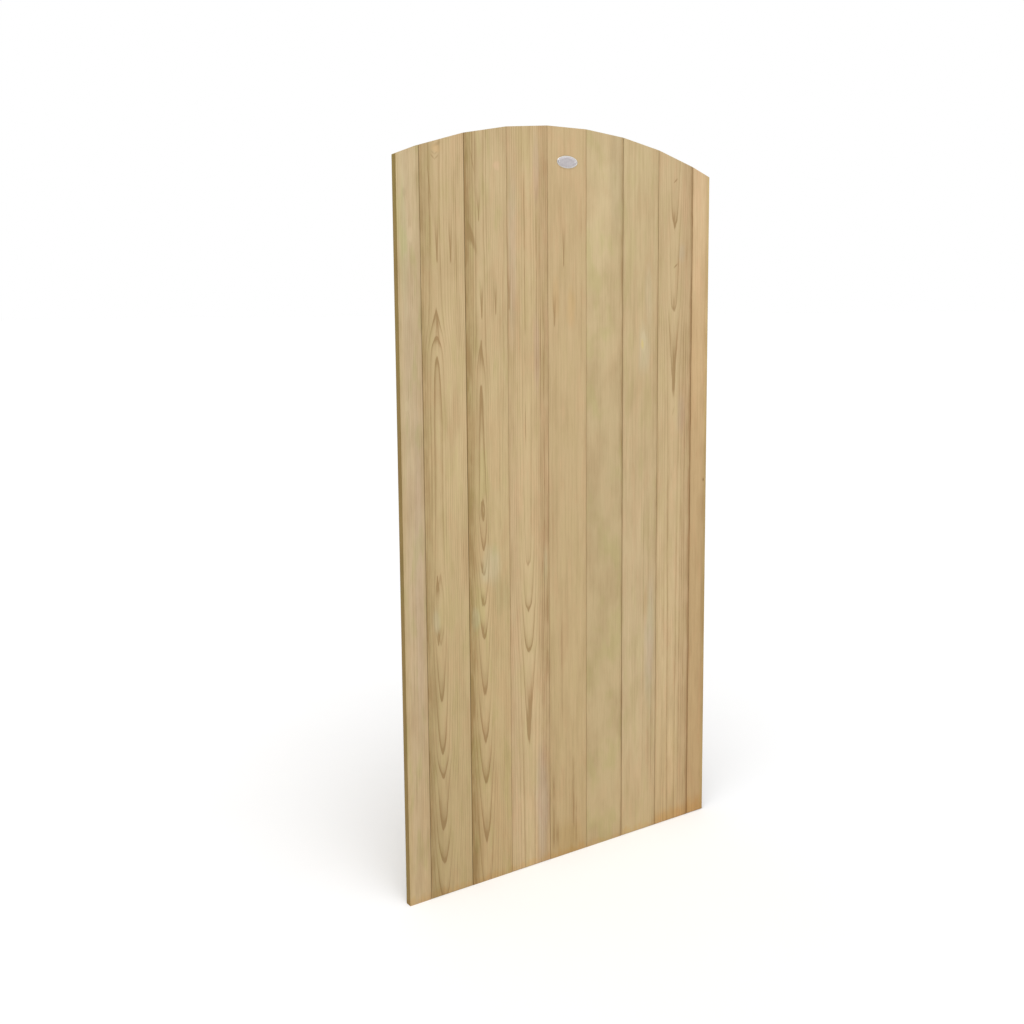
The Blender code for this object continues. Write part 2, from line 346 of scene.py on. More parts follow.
PALE_WOOD = (1.07, 1.08, 1.12)  # the three multiply a board's own tint
DARK_WOOD = (0.65, 0.565, 0.475)
KNOT_WOOD = (0.34, 0.24, 0.14)
FOOT_STAIN = (0.98, 0.86, 0.66)
GREEN_STAIN = (0.93, 0.985, 0.88)
PINK_STAIN = (1.035, 0.965, 0.975)
# Painted shade, with a yellower tone of its own, on the sawn outer side of an end board
SHADED_SAWN_SIDE = (0.54, 0.48, 0.26)
END_GRAIN = (0.86, 0.80, 0.70)
RING_PROFILE = (  # (part of a year's growth, darkness)
    (0.00, 0.06), (0.10, 0.0), (0.50, 0.06), (0.78, 0.42), (0.90, 1.0), (0.95, 0.95),
    (1.00, 0.06),
)
MOST_RINGS = 10.0
REACH = 1.8  # the length that the height curves cover


class Wood(Graph):
    """Wood cut from a round trunk, whose rings show as lines, arches and end grain.

    across, depth and along are millimetres, millimetres and metres in the timber's own
    frame: depth goes in from the shown face, along runs with the grain.
    """

    def __init__(self, name, middle, axes, seed):
        super().__init__(name)
        offset = self.vector("SUBTRACT", self.place, tuple(middle))
        across, depth, along = [self.vector("DOT_PRODUCT", offset, tuple(a)) for a in axes]
        self.across = self.times(across, 1.0 / MM)
        self.depth = self.times(depth, 1.0 / MM)
        self.along = along
        self.share = self.times(along, 1.0 / REACH)
        joined = self.node("CombineXYZ")
        for socket, value in zip(joined.inputs, (self.across, self.depth, self.along)):
            self.feed(socket, value)
        self.local = joined.outputs["Vector"]
        self.seed = Vector((seed * 7.3, seed * 3.1, seed * 11.7))
        end_on = self.vector("DOT_PRODUCT", self.normal, tuple(axes[2]))
        self.end_grain = self.fade(self.math("ABSOLUTE", end_on), 0.55, 0.75)

    def stretched(self, width, length, extra=0.0):
        """A place for noise with features this many millimetres wide and metres long."""
        scale = (1.0 / width, 1.0 / width, 1.0 / length)
        shift = self.seed + Vector((extra, extra, extra))
        return self.vector("MULTIPLY_ADD", self.local, scale, tuple(shift))

    def near(self, x, z, half_width, half_length, wobble=0.25):
        """Distance from a spot on the face, 1 at half_width or half_length from it."""
        side = self.times(self.minus(self.across, x), 1.0 / half_width)
        rise = self.times(self.minus(self.along, z), 1.0 / half_length)
        wave = self.swing(self.stretched(half_width, half_length, x + z), wobble)
        return self.add(self.length(side, rise), wave)

    def rings(self, pith, spacing, first, curve, spots, wobble):
        """Ring number at every point: whole numbers are the ends of years' growth."""
        slow = self.swing(self.stretched(55.0, 0.42), 1.0, 1.0)
        ragged = self.swing(self.stretched(9.0, 0.07), wobble, 3.0, 0.6)
        side = self.plus(self.minus(self.across, pith), slow, 7.0)
        self.side = self.math("ABSOLUTE", side)
        points = [(z / REACH, number / MOST_RINGS) for z, number in curve]
        climb = self.plus(self.times(self.curve(self.share, points), MOST_RINGS), slow, 0.12)
        face = self.times(self.add(climb, first), spacing)
        inwards = self.minus(face, self.depth)
        number = self.add(self.times(self.length(side, inwards), 1.0 / spacing), ragged)
        for x, z, half_width, half_length, push, _ in spots:
            reach = self.near(x, z, half_width * 2.2, half_length * 2.6)
            number = self.plus(number, self.fade(reach, 1.2, 0.1), push)
        return number

    def late_wood(self, number, plain=1.0, heart=0.0, heart_width=1.0):
        """0 in the pale early wood to 1 in the dark late wood, stronger in some years.

        plain is its strength, and heart is added to that on the line over the pith.
        """
        part = self.math("FRACT", number)
        band = self.ramp(part, [(place, (dark,) * 3) for place, dark in RING_PROFILE])
        year = self.node("TexWhiteNoise", noise_dimensions="1D")
        self.feed(year.inputs["W"], self.math("FLOOR", number))
        force = self.add(self.times(year.outputs["Value"], 0.50), 0.52)
        patchy = self.fade(self.noise(self.stretched(24.0, 0.30, 4.0), 2.0), 0.18, 0.62)
        over_pith = self.times(self.fade(self.side, heart_width, 0.0), heart)
        return self.times(self.times(band, force), self.add(self.times(patchy, plain), over_pith))

    def off_line(self, x, bend):
        """Distance in mm from a line along the grain at x that wanders by bend."""
        wave = self.swing(self.stretched(30.0, 0.16, x), bend, 1.0)
        return self.math("ABSOLUTE", self.add(self.minus(self.across, x), wave))

    def streak(self, x, z_tip, z_end, width):
        """A dark mark that starts at a sharp tip, widens to a hollow V and fades out."""
        length = z_end - z_tip
        widen = self.fade(self.along, z_tip, z_end)
        room = self.add(self.times(widen, width), 1.8)
        share = self.math("DIVIDE", self.off_line(x, 3.0), room, clamp=True)
        core = self.fade(share, 1.0, 0.45)
        hollow = self.times(self.minus(1.0, share), self.times(widen, 0.8))
        start = self.fade(self.along, z_tip, z_tip + 0.10 * length)
        stop = self.fade(self.along, z_end, z_tip + 0.35 * length)
        solid = self.math("SUBTRACT", 1.0, hollow, clamp=True)
        return self.times(self.times(core, solid), self.times(start, stop))

    def vein(self, x, z_low, z_high, width):
        """A dark line along the grain that comes and goes."""
        core = self.fade(self.off_line(x, 4.0), width, 0.3 * width)
        ends = self.fade(self.along, z_low, z_low + 0.06)
        ends = self.times(ends, self.fade(self.along, z_high, z_high - 0.06))
        broken = self.fade(self.noise(self.stretched(20.0, 0.09, x), 2.0), 0.30, 0.60)
        return self.times(self.times(core, ends), broken)

    def tick(self, x, z, half_width, half_height, slant):
        """A short dark mark that climbs by slant mm for each mm across."""
        side = self.minus(self.across, x)
        rise = self.minus(self.minus(self.along, z), self.times(side, slant * MM))
        side = self.times(side, 1.0 / half_width)
        rise = self.times(rise, 1.0 / half_height)
        return self.fade(self.length(side, rise), 1.2, 0.3)


def knots(wood, dark, spots):
    """The darkness with each knot's halo or pale heart, and a mask of the dark hearts."""
    hearts = 0.0
    for *oval, _, depth in spots:
        reach = wood.near(*oval)
        core = wood.times(wood.fade(reach, 1.25, 0.65), abs(depth))
        if depth < 0.0:
            dark = wood.minus(dark, core)
            continue
        circles = wood.times(wood.math("SINE", wood.times(reach, 14.0)), 0.18)
        hearts = wood.math("MAXIMUM", hearts, wood.times(core, wood.add(circles, 0.82)))
        dark = wood.plus(dark, wood.fade(reach, 2.6, 1.0), 0.30 * depth)
    return dark, hearts


def finish_wood(wood, tint, dark, hearts, late, fibre, relief):
    """Colour, roughness and relief of every timber from its dark wood, knots and fibre."""
    dark = wood.math("ADD", dark, 0.0, clamp=True)
    colour = wood.mix(dark, PALE_WOOD, DARK_WOOD)
    colour = wood.mix(hearts, colour, KNOT_WOOD)
    colour = wood.tinge(colour, 1.0, tint)
    colour = wood.tinge(colour, wood.end_grain, END_GRAIN)
    wood.surface("Base Color", colour)
    rough = wood.add(wood.plus(wood.times(late, -0.10), fibre, 0.16), 0.62)
    rough = wood.plus(rough, wood.end_grain, 0.12)
    wood.surface("Roughness", rough)
    wood.surface("Specular IOR Level", 0.30)
    height = wood.plus(wood.times(late, 0.55), fibre, 0.6)
    wood.bump(height, relief, 0.8)
    return wood.material


def board_darkness(wood, half, spec):
    """A board's late wood, fibres, clouds and streaks, with painted shade across it and painted shade and
    dirt at its joints, from 0 to 1.
    """
    figure = (spec[key] for key in ("pith", "spacing", "first", "curve", "knots", "wobble"))
    number = wood.rings(*figure)
    late = wood.late_wood(number, spec["lines"], spec["arches"], ARCH_WIDTH)
    fibre = wood.noise(wood.stretched(1.1, 0.045), 3.0, 0.65)
    bundles = wood.noise(wood.stretched(4.2, 0.26, 2.0), 4.0, 0.65)
    clouds = wood.noise(wood.stretched(spec["stain_width"], 0.12, 5.0), 3.0, 0.5)
    dark = wood.plus(late, wood.fade(fibre, 0.42, 0.80), 0.26)
    dark = wood.plus(dark, wood.fade(bundles, 0.40, 0.80), spec["bundles"])
    dark = wood.plus(dark, wood.fade(clouds, 0.35, 0.75), spec["clouds"])
    for kind, mark in (("streaks", wood.streak), ("veins", wood.vein), ("ticks", wood.tick)):
        for *shape, strength in spec[kind]:
            dark = wood.plus(dark, mark(*shape), strength)
    # A patchy mask that breaks up the painted shade and dirt below
    patchy_shade_and_dirt = wood.noise(wood.stretched(14.0, 0.07, 6.0), 3.0, 0.6)
    patchy_shade_and_dirt = wood.add(wood.times(wood.fade(patchy_shade_and_dirt, 0.30, 0.70), 0.7), 0.55)
    # Painted shade across part of the face, deepening from start to end
    for start, end, strength in spec["shades"]:
        dark = wood.plus(dark, wood.times(wood.fade(wood.across, start, end), strength), patchy_shade_and_dirt)
    # Painted shade, with some dirt, in each joint and beside it on the face
    for side, strength in zip((-1.0, 1.0), spec["edges"]):
        edge = wood.minus(half, wood.times(wood.across, side))
        shadow = wood.plus(wood.fade(edge, 2.4, 0.8), wood.fade(edge, 9.0, 1.0), 0.50)
        dark = wood.plus(dark, wood.times(shadow, strength), patchy_shade_and_dirt)
    return dark, late, fibre


def board_tint(wood, spec):
    """The board's own colour from foot to top, with its stains and washes, and painted shade on a sawn
    side.
    """
    tint = wood.ramp(wood.share, [(z / REACH, colour) for z, colour in spec["tints"]])
    stain = wood.noise(wood.stretched(spec["stain_width"], 0.11, 9.0), 2.0, 0.6)
    green = wood.times(wood.fade(stain, 0.50, 0.68), spec["green"])
    tint = wood.tinge(tint, green, GREEN_STAIN)
    pink = wood.times(wood.fade(stain, 0.50, 0.32), spec["pink"])
    tint = wood.tinge(tint, pink, PINK_STAIN)
    for start, end, colour in spec["washes"]:
        tint = wood.tinge(tint, wood.fade(wood.across, start, end), colour)
    for *oval, colour in spec["patches"]:
        tint = wood.tinge(tint, wood.fade(wood.near(*oval, 0.9), 1.2, 0.4), colour)
    soak = wood.add(wood.along, wood.swing(wood.stretched(12.0, 0.04, 3.0), 0.040))
    strength, height = spec["foot"]
    wet = wood.times(wood.fade(soak, height, 0.2 * height), strength)
    tint = wood.tinge(tint, wet, FOOT_STAIN)
    # Painted shade on the sawn side, with a yellower tone of its own
    if "shaded_sawn_side" in spec:
        facing = wood.vector("DOT_PRODUCT", wood.normal, (spec["shaded_sawn_side"], 0.0, 0.0))
        tint = wood.tinge(tint, wood.fade(facing, 0.4, 0.8), SHADED_SAWN_SIDE)
    return tint


def board_wood(number, left, right):
    """The wood of one board, whose figure, tints, knots and streaks come from BOARDS."""
    middle = Vector(((left + right) / 2, FRONT, 0.0))
    axes = ((1.0, 0.0, 0.0), (0.0, 1.0, 0.0), (0.0, 0.0, 1.0))
    wood = Wood(f"board_{number}_wood", middle, axes, number)
    spec = {**PLAIN_BOARD, **BOARDS[number]}
    dark, late, fibre = board_darkness(wood, (right - left) / 2 / MM, spec)
    dark, hearts = knots(wood, dark, spec["knots"])
    tint = board_tint(wood, spec)
    return finish_wood(wood, tint, dark, hearts, late, fibre, BOARD_RELIEF)


BOARD_RELIEF = 0.35 * MM
ARCH_WIDTH = 26.0  # mm, how far from the pith the arches are stronger than the lines
PLAIN_BOARD = dict(
    knots=(), streaks=(), veins=(), ticks=(), shades=(), washes=(), patches=(),
    wobble=0.22, arches=0, lines=0.34, bundles=0.3, clouds=0.2, green=0.5, pink=0.5,
    foot=(0.6, 0.022), edges=(0.3, 0.3), stain_width=28,
)

# Each board's figure and marks: x and widths in mm from its middle, z and lengths in metres.
# pith, spacing, first: the trunk's middle, the rings' spacing, the number of the first ring
# curve: (z, rings further out), so that an arch's tip is where it meets a whole ring
# lines, arches, bundles, clouds: darkness of the rings, of those over the pith, of fibres
#   and of clouds; wobble: how ragged the rings are
# knots: (x, z, half width, half length, push on the rings, darkness)
# streaks: (x, tip z, end z, width, darkness); veins: (x, low z, high z, width, darkness)
# ticks: (x, z, half width, half height, slant, darkness); shades: (from x, to x, darkness) of painted shade
# washes: (from x, to x, colour); patches: (x, z, half width, half length, colour)
# green, pink: strength of the two stains, which are stain_width wide
# foot: (strength, height) of the stain at the bottom; edges: painted shade and dirt at left and right joint
# shaded_sawn_side: the way that a sawn edge faces, which gets painted shade; tints: (z, colour)
BOARDS = {
    1: dict(
        pith=-86, spacing=4.6, first=4, clouds=0.3, green=1, pink=0.3, edges=(0.1, 0.12), shaded_sawn_side=-1,
        curve=((0, 0.3), (0.6, 0.6), (1.2, 0.35), (1.8, 0.9)),
        veins=((6, 1.2, 1.62, 2.5, 0.26), (-6, 0.2, 0.8, 2.2, 0.26)),
        knots=(
            (-13, 1.165, 4.5, 0.012, 0.9, -0.2), (4, 1.54, 6, 0.018, 0.8, -0.22),
            (-10, 1.63, 5, 0.01, 0.8, 0.14),
        ),
        shades=((12, 28, 0.1),), washes=((-6, 16, (0.985, 0.975, 0.94)), (-10, -26, (1, 1, 0.92))),
        patches=(
            (12, 0.75, 13, 0.45, (0.98, 0.98, 1.06)), (-14, 1.5, 12, 0.16, (0.96, 1.02, 0.98)),
            (2, 1.1, 22, 0.1, (1, 1.01, 1)),
        ),
        tints=(
            (0, (0.52, 0.385, 0.21)), (0.7, (0.55, 0.415, 0.24)), (1.35, (0.56, 0.43, 0.255)),
            (1.75, (0.62, 0.49, 0.285)),
        ),
    ),
    2: dict(
        pith=-20, spacing=4.5, first=3.93, arches=0.85, lines=0.5, edges=(0.06, 0.14),
        curve=(
            (0, 6.8), (0.08, 6), (0.165, 5), (0.29, 4), (0.35, 3), (0.475, 2), (0.61, 1), (0.69, 0.4),
            (0.77, 1), (0.9, 1.4), (1.2, 1.7), (1.265, 2), (1.315, 3), (1.37, 4), (1.42, 4.2), (1.8, 4.25),
        ),
        streaks=(
            (-15.5, 1.475, 1.6, 7, 0.85), (19.5, 1.475, 1.6, 6.5, 0.75), (-18, 1.375, 1.27, 9, 0.7),
            (-28, 0.775, 0.71, 9, 0.95), (-28, 0.605, 0.66, 11, 0.75),
        ),
        veins=((-32, 1.28, 1.62, 1.8, 0.25), (34, 1.3, 1.72, 1.8, 0.35)),
        ticks=(
            (-33, 1.655, 5, 0.012, -9, 0.6), (-23, 1.709, 6, 0.0025, -0.9, 0.45),
            (-13, 1.709, 6, 0.0025, 0.9, 0.45), (-22, 1.718, 5, 0.002, -0.8, 0.3),
            (-14, 1.718, 5, 0.002, 0.8, 0.3), (-12, 1.737, 11, 0.005, 0.5, 0.25),
        ),
        shades=((-14, -56, 0.32), (-42, -54, 0.16)), washes=((-10, -45, (0.93, 0.94, 0.9)),),
        patches=((-14, 1.728, 13, 0.01, (1.1, 1.05, 1)), (-32, 0.665, 12, 0.035, (1.02, 1.1, 1.24))),
        tints=(
            (0, (0.465, 0.345, 0.168)), (0.6, (0.535, 0.4, 0.202)), (1, (0.585, 0.44, 0.228)),
            (1.75, (0.59, 0.44, 0.235)),
        ),
    ),
    3: dict(
        pith=-17, spacing=4.2, first=1.93, arches=0.85, lines=0.5, green=0.8, edges=(0.25, 0.1),
        curve=(
            (0, 9.7), (0.11, 9), (0.25, 8), (0.355, 7), (0.47, 6), (0.605, 5), (0.685, 4), (0.76, 3),
            (0.82, 2), (0.89, 1), (0.91, 0.8), (0.93, 1), (1.1, 1.7), (1.2, 2), (1.3, 3), (1.4, 3.2),
            (1.8, 3.25),
        ),
        streaks=(
            (-20, 1.57, 1.66, 7, 0.8), (-15, 1.35, 1.46, 6.5, 0.85), (24, 1.36, 1.46, 6.5, 0.75),
            (-16, 1.31, 1.22, 8, 0.7), (-17, 1.205, 1.12, 9, 0.6), (-20, 0.935, 0.88, 7, 0.75),
            (-21, 0.76, 0.8, 8, 0.6), (-21, 0.68, 0.72, 8, 0.6), (-21, 0.605, 0.66, 9, 0.6),
        ),
        veins=((44, 1.05, 1.5, 1.8, 0.35), (32, 0.6, 1.2, 1.8, 0.28)),
        ticks=(
            (-37, 1.535, 14, 0.02, -2.4, 0.5), (-46, 1.545, 12, 0.022, -1, 0.45),
            (-36, 1.708, 7, 0.007, -4.6, 0.5), (-50, 0.46, 7, 0.06, 0, 0.45), (-51, 0.06, 6, 0.05, 0, 0.45),
        ),
        shades=((-16, -50, 0.34), (-38, -54, 0.24)), washes=((-20, -48, (0.94, 0.95, 0.89)),),
        patches=(
            (4, 0.775, 30, 0.055, (1.01, 1.1, 1.24)), (-40, 0.655, 14, 0.035, (1, 1.1, 1.24)),
            (30, 1.7, 10, 0.012, (1.1, 1.05, 1.12)), (28, 1.7, 30, 0.08, (1.02, 1.04, 1.04)),
            (30, 0.7, 30, 0.06, (0.92, 0.95, 0.92)),
        ),
        tints=(
            (0, (0.49, 0.355, 0.172)), (0.6, (0.55, 0.41, 0.205)), (1, (0.575, 0.435, 0.222)),
            (1.75, (0.59, 0.445, 0.24)),
        ),
    ),
    4: dict(
        pith=-4, spacing=5, first=3.93, arches=0.8, lines=0.52, green=0.4, pink=0.6, edges=(0.12, 0.14),
        curve=(
            (0, 4.4), (0.335, 4), (0.43, 3.7), (0.55, 3), (0.565, 2.75), (0.655, 2), (0.67, 1.75),
            (0.765, 1), (0.78, 0.8), (0.95, 0.4), (1.8, 0.2),
        ),
        streaks=((-3, 0.335, 0.52, 11, 0.75), (-54, 1.37, 1.48, 5, 0.6)),
        veins=(
            (-10, 1.02, 1.78, 1.8, 0.75), (24, 1.2, 1.7, 2.4, 0.35), (34, 0.95, 1.6, 2.4, 0.4),
            (44, 0.6, 1.45, 2.4, 0.45), (52, 0.45, 0.75, 2.6, 0.6), (27, 0.3, 0.9, 1.8, 0.35),
            (37, 0.3, 0.9, 1.8, 0.35), (47, 0.25, 0.6, 1.8, 0.3),
        ),
        shades=((16, 44, 0.22), (-38, -54, 0.1)),
        washes=((-20, -40, (0.98, 0.96, 0.98)), (12, 40, (0.96, 0.93, 0.93))),
        patches=(
            (-44, 1.5, 14, 0.22, (0.97, 1.01, 1.1)), (34, 0.16, 22, 0.16, (0.96, 0.99, 1.17)),
            (24, 1.28, 10, 0.12, (0.96, 0.94, 1.04)), (24, 1.7, 10, 0.1, (0.97, 0.96, 1.06)),
            (46, 0.76, 7, 0.06, (1, 1.08, 1.14)),
        ),
        tints=(
            (0, (0.56, 0.42, 0.225)), (0.6, (0.585, 0.44, 0.232)), (1.2, (0.59, 0.44, 0.23)),
            (1.75, (0.605, 0.455, 0.24)),
        ),
    ),
    5: dict(
        pith=-98, spacing=4.2, first=5, green=0.2, foot=(0.8, 0.025), edges=(0.16, 0.16),
        curve=((0, 1.1), (0.7, 0.7), (1.3, 0.9), (1.8, 0.4)),
        streaks=((-11, 1.47, 1.6, 6, 0.75), (-39, 1.33, 1.43, 5.6, 0.7)),
        veins=(
            (16, 0, 0.36, 5, 0.55), (24, 0, 0.16, 4, 0.6), (-46, 0, 0.24, 6, 0.55), (-34, 0, 0.12, 6, 0.5),
            (-20, 0.36, 0.62, 3, 0.3), (42, 1.2, 1.7, 1.8, 0.25),
        ),
        patches=(
            (-34, 1.4, 12, 0.06, (1.02, 0.98, 0.93)), (12, 1.38, 16, 0.05, (1.03, 0.98, 0.91)),
            (0, 0.03, 50, 0.07, (0.94, 0.91, 0.82)),
        ),
        tints=(
            (0, (0.485, 0.35, 0.172)), (0.45, (0.53, 0.39, 0.196)), (1, (0.55, 0.405, 0.209)),
            (1.75, (0.59, 0.435, 0.228)),
        ),
    ),
    6: dict(
        pith=92, spacing=4.4, first=6, wobble=0.5, lines=0.22, bundles=0.14, clouds=0.3, green=0.9,
        pink=0.3, stain_width=60, edges=(0.14, 0.7),
        curve=((0, 0.2), (0.5, 1.4), (1.1, 0.6), (1.5, 1.8), (1.8, 1)), veins=((54, 1, 1.9, 14, 0.2),),
        shades=((44, 58, 0.18),),
        # The grey patch at the top right is painted shade beside the joint
        patches=((0, 1.62, 34, 0.14, (1.03, 1.03, 1.04)), (38, 1.72, 26, 0.2, (0.9, 0.9, 0.9))),
        tints=(
            (0, (0.505, 0.38, 0.197)), (0.6, (0.52, 0.395, 0.205)), (0.95, (0.52, 0.395, 0.207)),
            (1.3, (0.57, 0.435, 0.232)), (1.7, (0.62, 0.485, 0.265)),
        ),
    ),
    7: dict(
        pith=112, spacing=4.2, first=5, green=0.5, edges=(0.2, 0.34),
        curve=((0, 0.5), (0.6, 0.9), (1.2, 0.5), (1.8, 0.9)),
        veins=((14, 0.1, 0.9, 2.4, 0.32), (30, 0.45, 0.95, 2, 0.3), (42, 0.1, 0.7, 2, 0.34)),
        knots=((10, 1.292, 7, 0.028, 1.4, -0.3),), shades=((8, 50, 0.13),),
        patches=(
            (36, 0.5, 18, 0.2, (0.96, 1.01, 1.14)), (20, 0.6, 8, 0.06, (1.03, 0.97, 0.97)),
            (12, 1.27, 24, 0.07, (1.01, 1.07, 1.17)), (26, 1.4, 14, 0.1, (1, 1.04, 1.1)),
            (6, 1.285, 5, 0.014, (1.06, 1.04, 0.8)),
        ),
        tints=(
            (0, (0.53, 0.395, 0.205)), (0.5, (0.565, 0.43, 0.238)), (1.2, (0.565, 0.425, 0.225)),
            (1.75, (0.595, 0.46, 0.246)),
        ),
    ),
    8: dict(
        pith=-3, spacing=5, first=3.93, arches=0.62, lines=0.52, green=0.3, pink=0.6, foot=(1, 0.045),
        edges=(0.2, 0.8),
        curve=(
            (0, 5.6), (0.9, 5.3), (1.17, 5), (1.28, 4.7), (1.37, 4), (1.385, 3.8), (1.585, 3), (1.6, 2.8),
            (1.8, 2),
        ),
        streaks=((-1, 1.17, 1.33, 11, 0.75), (-4, 1.37, 1.42, 6, 0.5), (-6, 1.585, 1.63, 6, 0.5)),
        veins=(
            (-18, 0.02, 1.06, 1.8, 0.5), (-34, 0.1, 0.8, 1.8, 0.4), (24, 0.05, 1.2, 2, 0.42),
            (31, 0.6, 1.38, 2, 0.42), (38, 0.3, 1.36, 2, 0.42), (45, 0.8, 1.3, 2, 0.36),
        ),
        ticks=(
            (-1, 1.695, 7.5, 0.003, 0.8, 0.7), (1, 1.482, 7.5, 0.003, 0.8, 0.7),
            (-3, 1.11, 4, 0.006, 3, 0.4),
        ),
        shades=((12, 46, 0.18), (45, 56, 0.34)), washes=((10, 34, (0.97, 0.94, 0.94)),),
        patches=(
            (22, 1.515, 12, 0.03, (0.97, 1.02, 1.13)), (24, 1.1, 16, 0.06, (0.97, 0.97, 1.07)),
            (-4, 0.16, 22, 0.12, (1.12, 1.12, 1.15)),
        ),
        tints=(
            (0, (0.52, 0.375, 0.188)), (0.5, (0.59, 0.44, 0.235)), (1.2, (0.58, 0.435, 0.23)),
            (1.75, (0.59, 0.445, 0.24)),
        ),
    ),
    9: dict(
        pith=-70, spacing=4.8, first=7, lines=0.26, green=0, pink=0.5, foot=(1, 0.06), edges=(0.4, 0.06),
        shaded_sawn_side=1, curve=((0, 1.2), (0.6, 0.6), (1.2, 1), (1.8, 0.5)),
        ticks=((20, 0.6, 9, 0.16, 0, 0.25), (14, 0.85, 16, 0.05, 0, 0.15)),
        knots=((19, 0.921, 2.4, 0.004, 0.4, 0.75),), shades=((2, 28, 0.26),),
        washes=((16, 27, (0.97, 1.01, 0.87)),),
        tints=(
            (0, (0.49, 0.33, 0.154)), (0.75, (0.515, 0.357, 0.172)), (1.25, (0.605, 0.42, 0.21)),
            (1.7, (0.69, 0.505, 0.28)),
        ),
    ),
}


TIMBER_TINTS = {
    "ledge_bottom": (0.50, 0.375, 0.185),
    "ledge_middle": (0.54, 0.405, 0.215),
    "ledge_top": (0.52, 0.385, 0.190),
    "lower_brace": (0.53, 0.400, 0.200),
    "upper_brace": (0.50, 0.380, 0.195),
}
TIMBER_RELIEF = 0.45 * MM
TIMBER_KNOTS = 2
LEDGE_SEED = 20
BRACE_SEED = 30


def timber_wood(name, middle, axes, seed):
    """Rough-sawn timber: coarser figure, with the saw's marks across it."""
    wood = Wood(f"{name}_wood", middle, axes, seed)
    chance = random.Random(seed)
    pith = chance.uniform(-30.0, 30.0)
    spots = []
    for _ in range(TIMBER_KNOTS):
        x, z = chance.uniform(-30.0, 30.0), chance.uniform(-0.36, 0.36)
        half_size = chance.uniform(5.0, 8.0), chance.uniform(0.007, 0.011)
        spots.append((x, z, *half_size, 1.3, chance.uniform(0.35, 0.65)))
    low, high = chance.uniform(0.5, 2.0), chance.uniform(3.0, 6.0)
    number = wood.rings(pith, 4.6, 6.0, ((0.0, low), (0.4, high), (1.0, low)), spots, 0.25)
    late = wood.late_wood(number)
    fibre = wood.noise(wood.stretched(1.2, 0.030), 3.0, 0.65)
    bundles = wood.noise(wood.stretched(6.0, 0.20, 2.0), 3.0, 0.6)
    clouds = wood.noise(wood.stretched(40.0, 0.12, 5.0), 3.0, 0.55)
    dark = wood.plus(wood.times(late, 0.55), wood.fade(fibre, 0.40, 0.80), 0.26)
    dark = wood.plus(dark, wood.fade(bundles, 0.45, 0.85), 0.30)
    dark = wood.plus(dark, wood.fade(clouds, 0.35, 0.80), 0.20)
    dark, hearts = knots(wood, dark, spots)
    saw = wood.noise(wood.stretched(260.0, 0.0022, 8.0), 2.0)
    rough = wood.plus(wood.times(fibre, 0.8), saw, 0.6)
    tint = TIMBER_TINTS[name]
    pale = tuple(part * 1.07 for part in tint)
    green = (tint[0] * 0.95, tint[1], tint[2] * 0.88)
    stained = wood.mix(wood.fade(clouds, 0.35, 0.70), pale, green)
    return finish_wood(wood, stained, dark, hearts, late, rough, TIMBER_RELIEF)


# Boards


def arc_height(x):
    """Height at x of the arc through the middle board's top corners and both shoulders."""
    near = BOARD_COVER / 2
    half = HIGH.x
    rise = CROWN_HEIGHT - SHOULDER_HEIGHT
    above_centre = (half**2 - near**2 + rise**2) / (2 * rise)
    radius = math.hypot(near, above_centre)
    return CROWN_HEIGHT - above_centre + math.sqrt(max(radius**2 - x**2, 0.0))


def board_edges():
    """The lines between boards, from the left edge to the right edge."""
    joints = [LOW.x + BOARD_COVER / 2]
    while joints[-1] + BOARD_COVER < HIGH.x:
        joints.append(joints[-1] + BOARD_COVER)
    return [LOW.x, *joints, HIGH.x]


def top_height(x, edges):
    """Height at x of the top, which is sawn straight across each board."""
    right = next((edge for edge in edges[1:] if x <= edge), edges[-1])
    left = edges[edges.index(right) - 1]
    share = (x - left) / (right - left)
    return arc_height(left) + share * (arc_height(right) - arc_height(left))


def ripped_side(x, inwards):
    """Sawn long edge of an outer board, from its front to its back."""
    r = RIPPED_ROUNDING
    front = arc_points((x + inwards * r, FRONT + r), r, 270, 270 - inwards * 90, 2)
    back = arc_points((x + inwards * r, BACK - r), r, 90 + inwards * 90, 90, 2)
    return front + back


def tongue_side(side):
    """Right side of a board from its front to its back, and where its tongue starts."""
    middle = (FRONT + BACK) / 2
    reach = TONGUE_THICK / 2
    tip = side + TONGUE_LENGTH
    r = JOINT_ROUNDING
    front = arc_points((side - r, FRONT + r), r, 270, 360, ROUNDING_STEPS)
    tongue = [
        (side, middle - reach),
        (tip - TONGUE_CHAMFER, middle - reach),
        (tip, middle - reach + TONGUE_CHAMFER),
        (tip, middle + reach - TONGUE_CHAMFER),
        (tip - TONGUE_CHAMFER, middle + reach),
        (side - TONGUE_RELIEF, middle + reach),
    ]
    return front + tongue + [(side - TONGUE_RELIEF, BACK)], (len(front), len(tongue))


def groove_side(side):
    """Left side of a board, from its back to its front."""
    middle = (FRONT + BACK) / 2
    reach = TONGUE_THICK / 2 + GAP
    r = JOINT_ROUNDING
    groove = [
        (side, BACK),
        (side, middle + reach),
        (side + GROOVE_DEPTH, middle + reach),
        (side + GROOVE_DEPTH, middle - reach),
        (side, middle - reach),
    ]
    return groove + arc_points((side + r, FRONT + r), r, 180, 270, ROUNDING_STEPS)


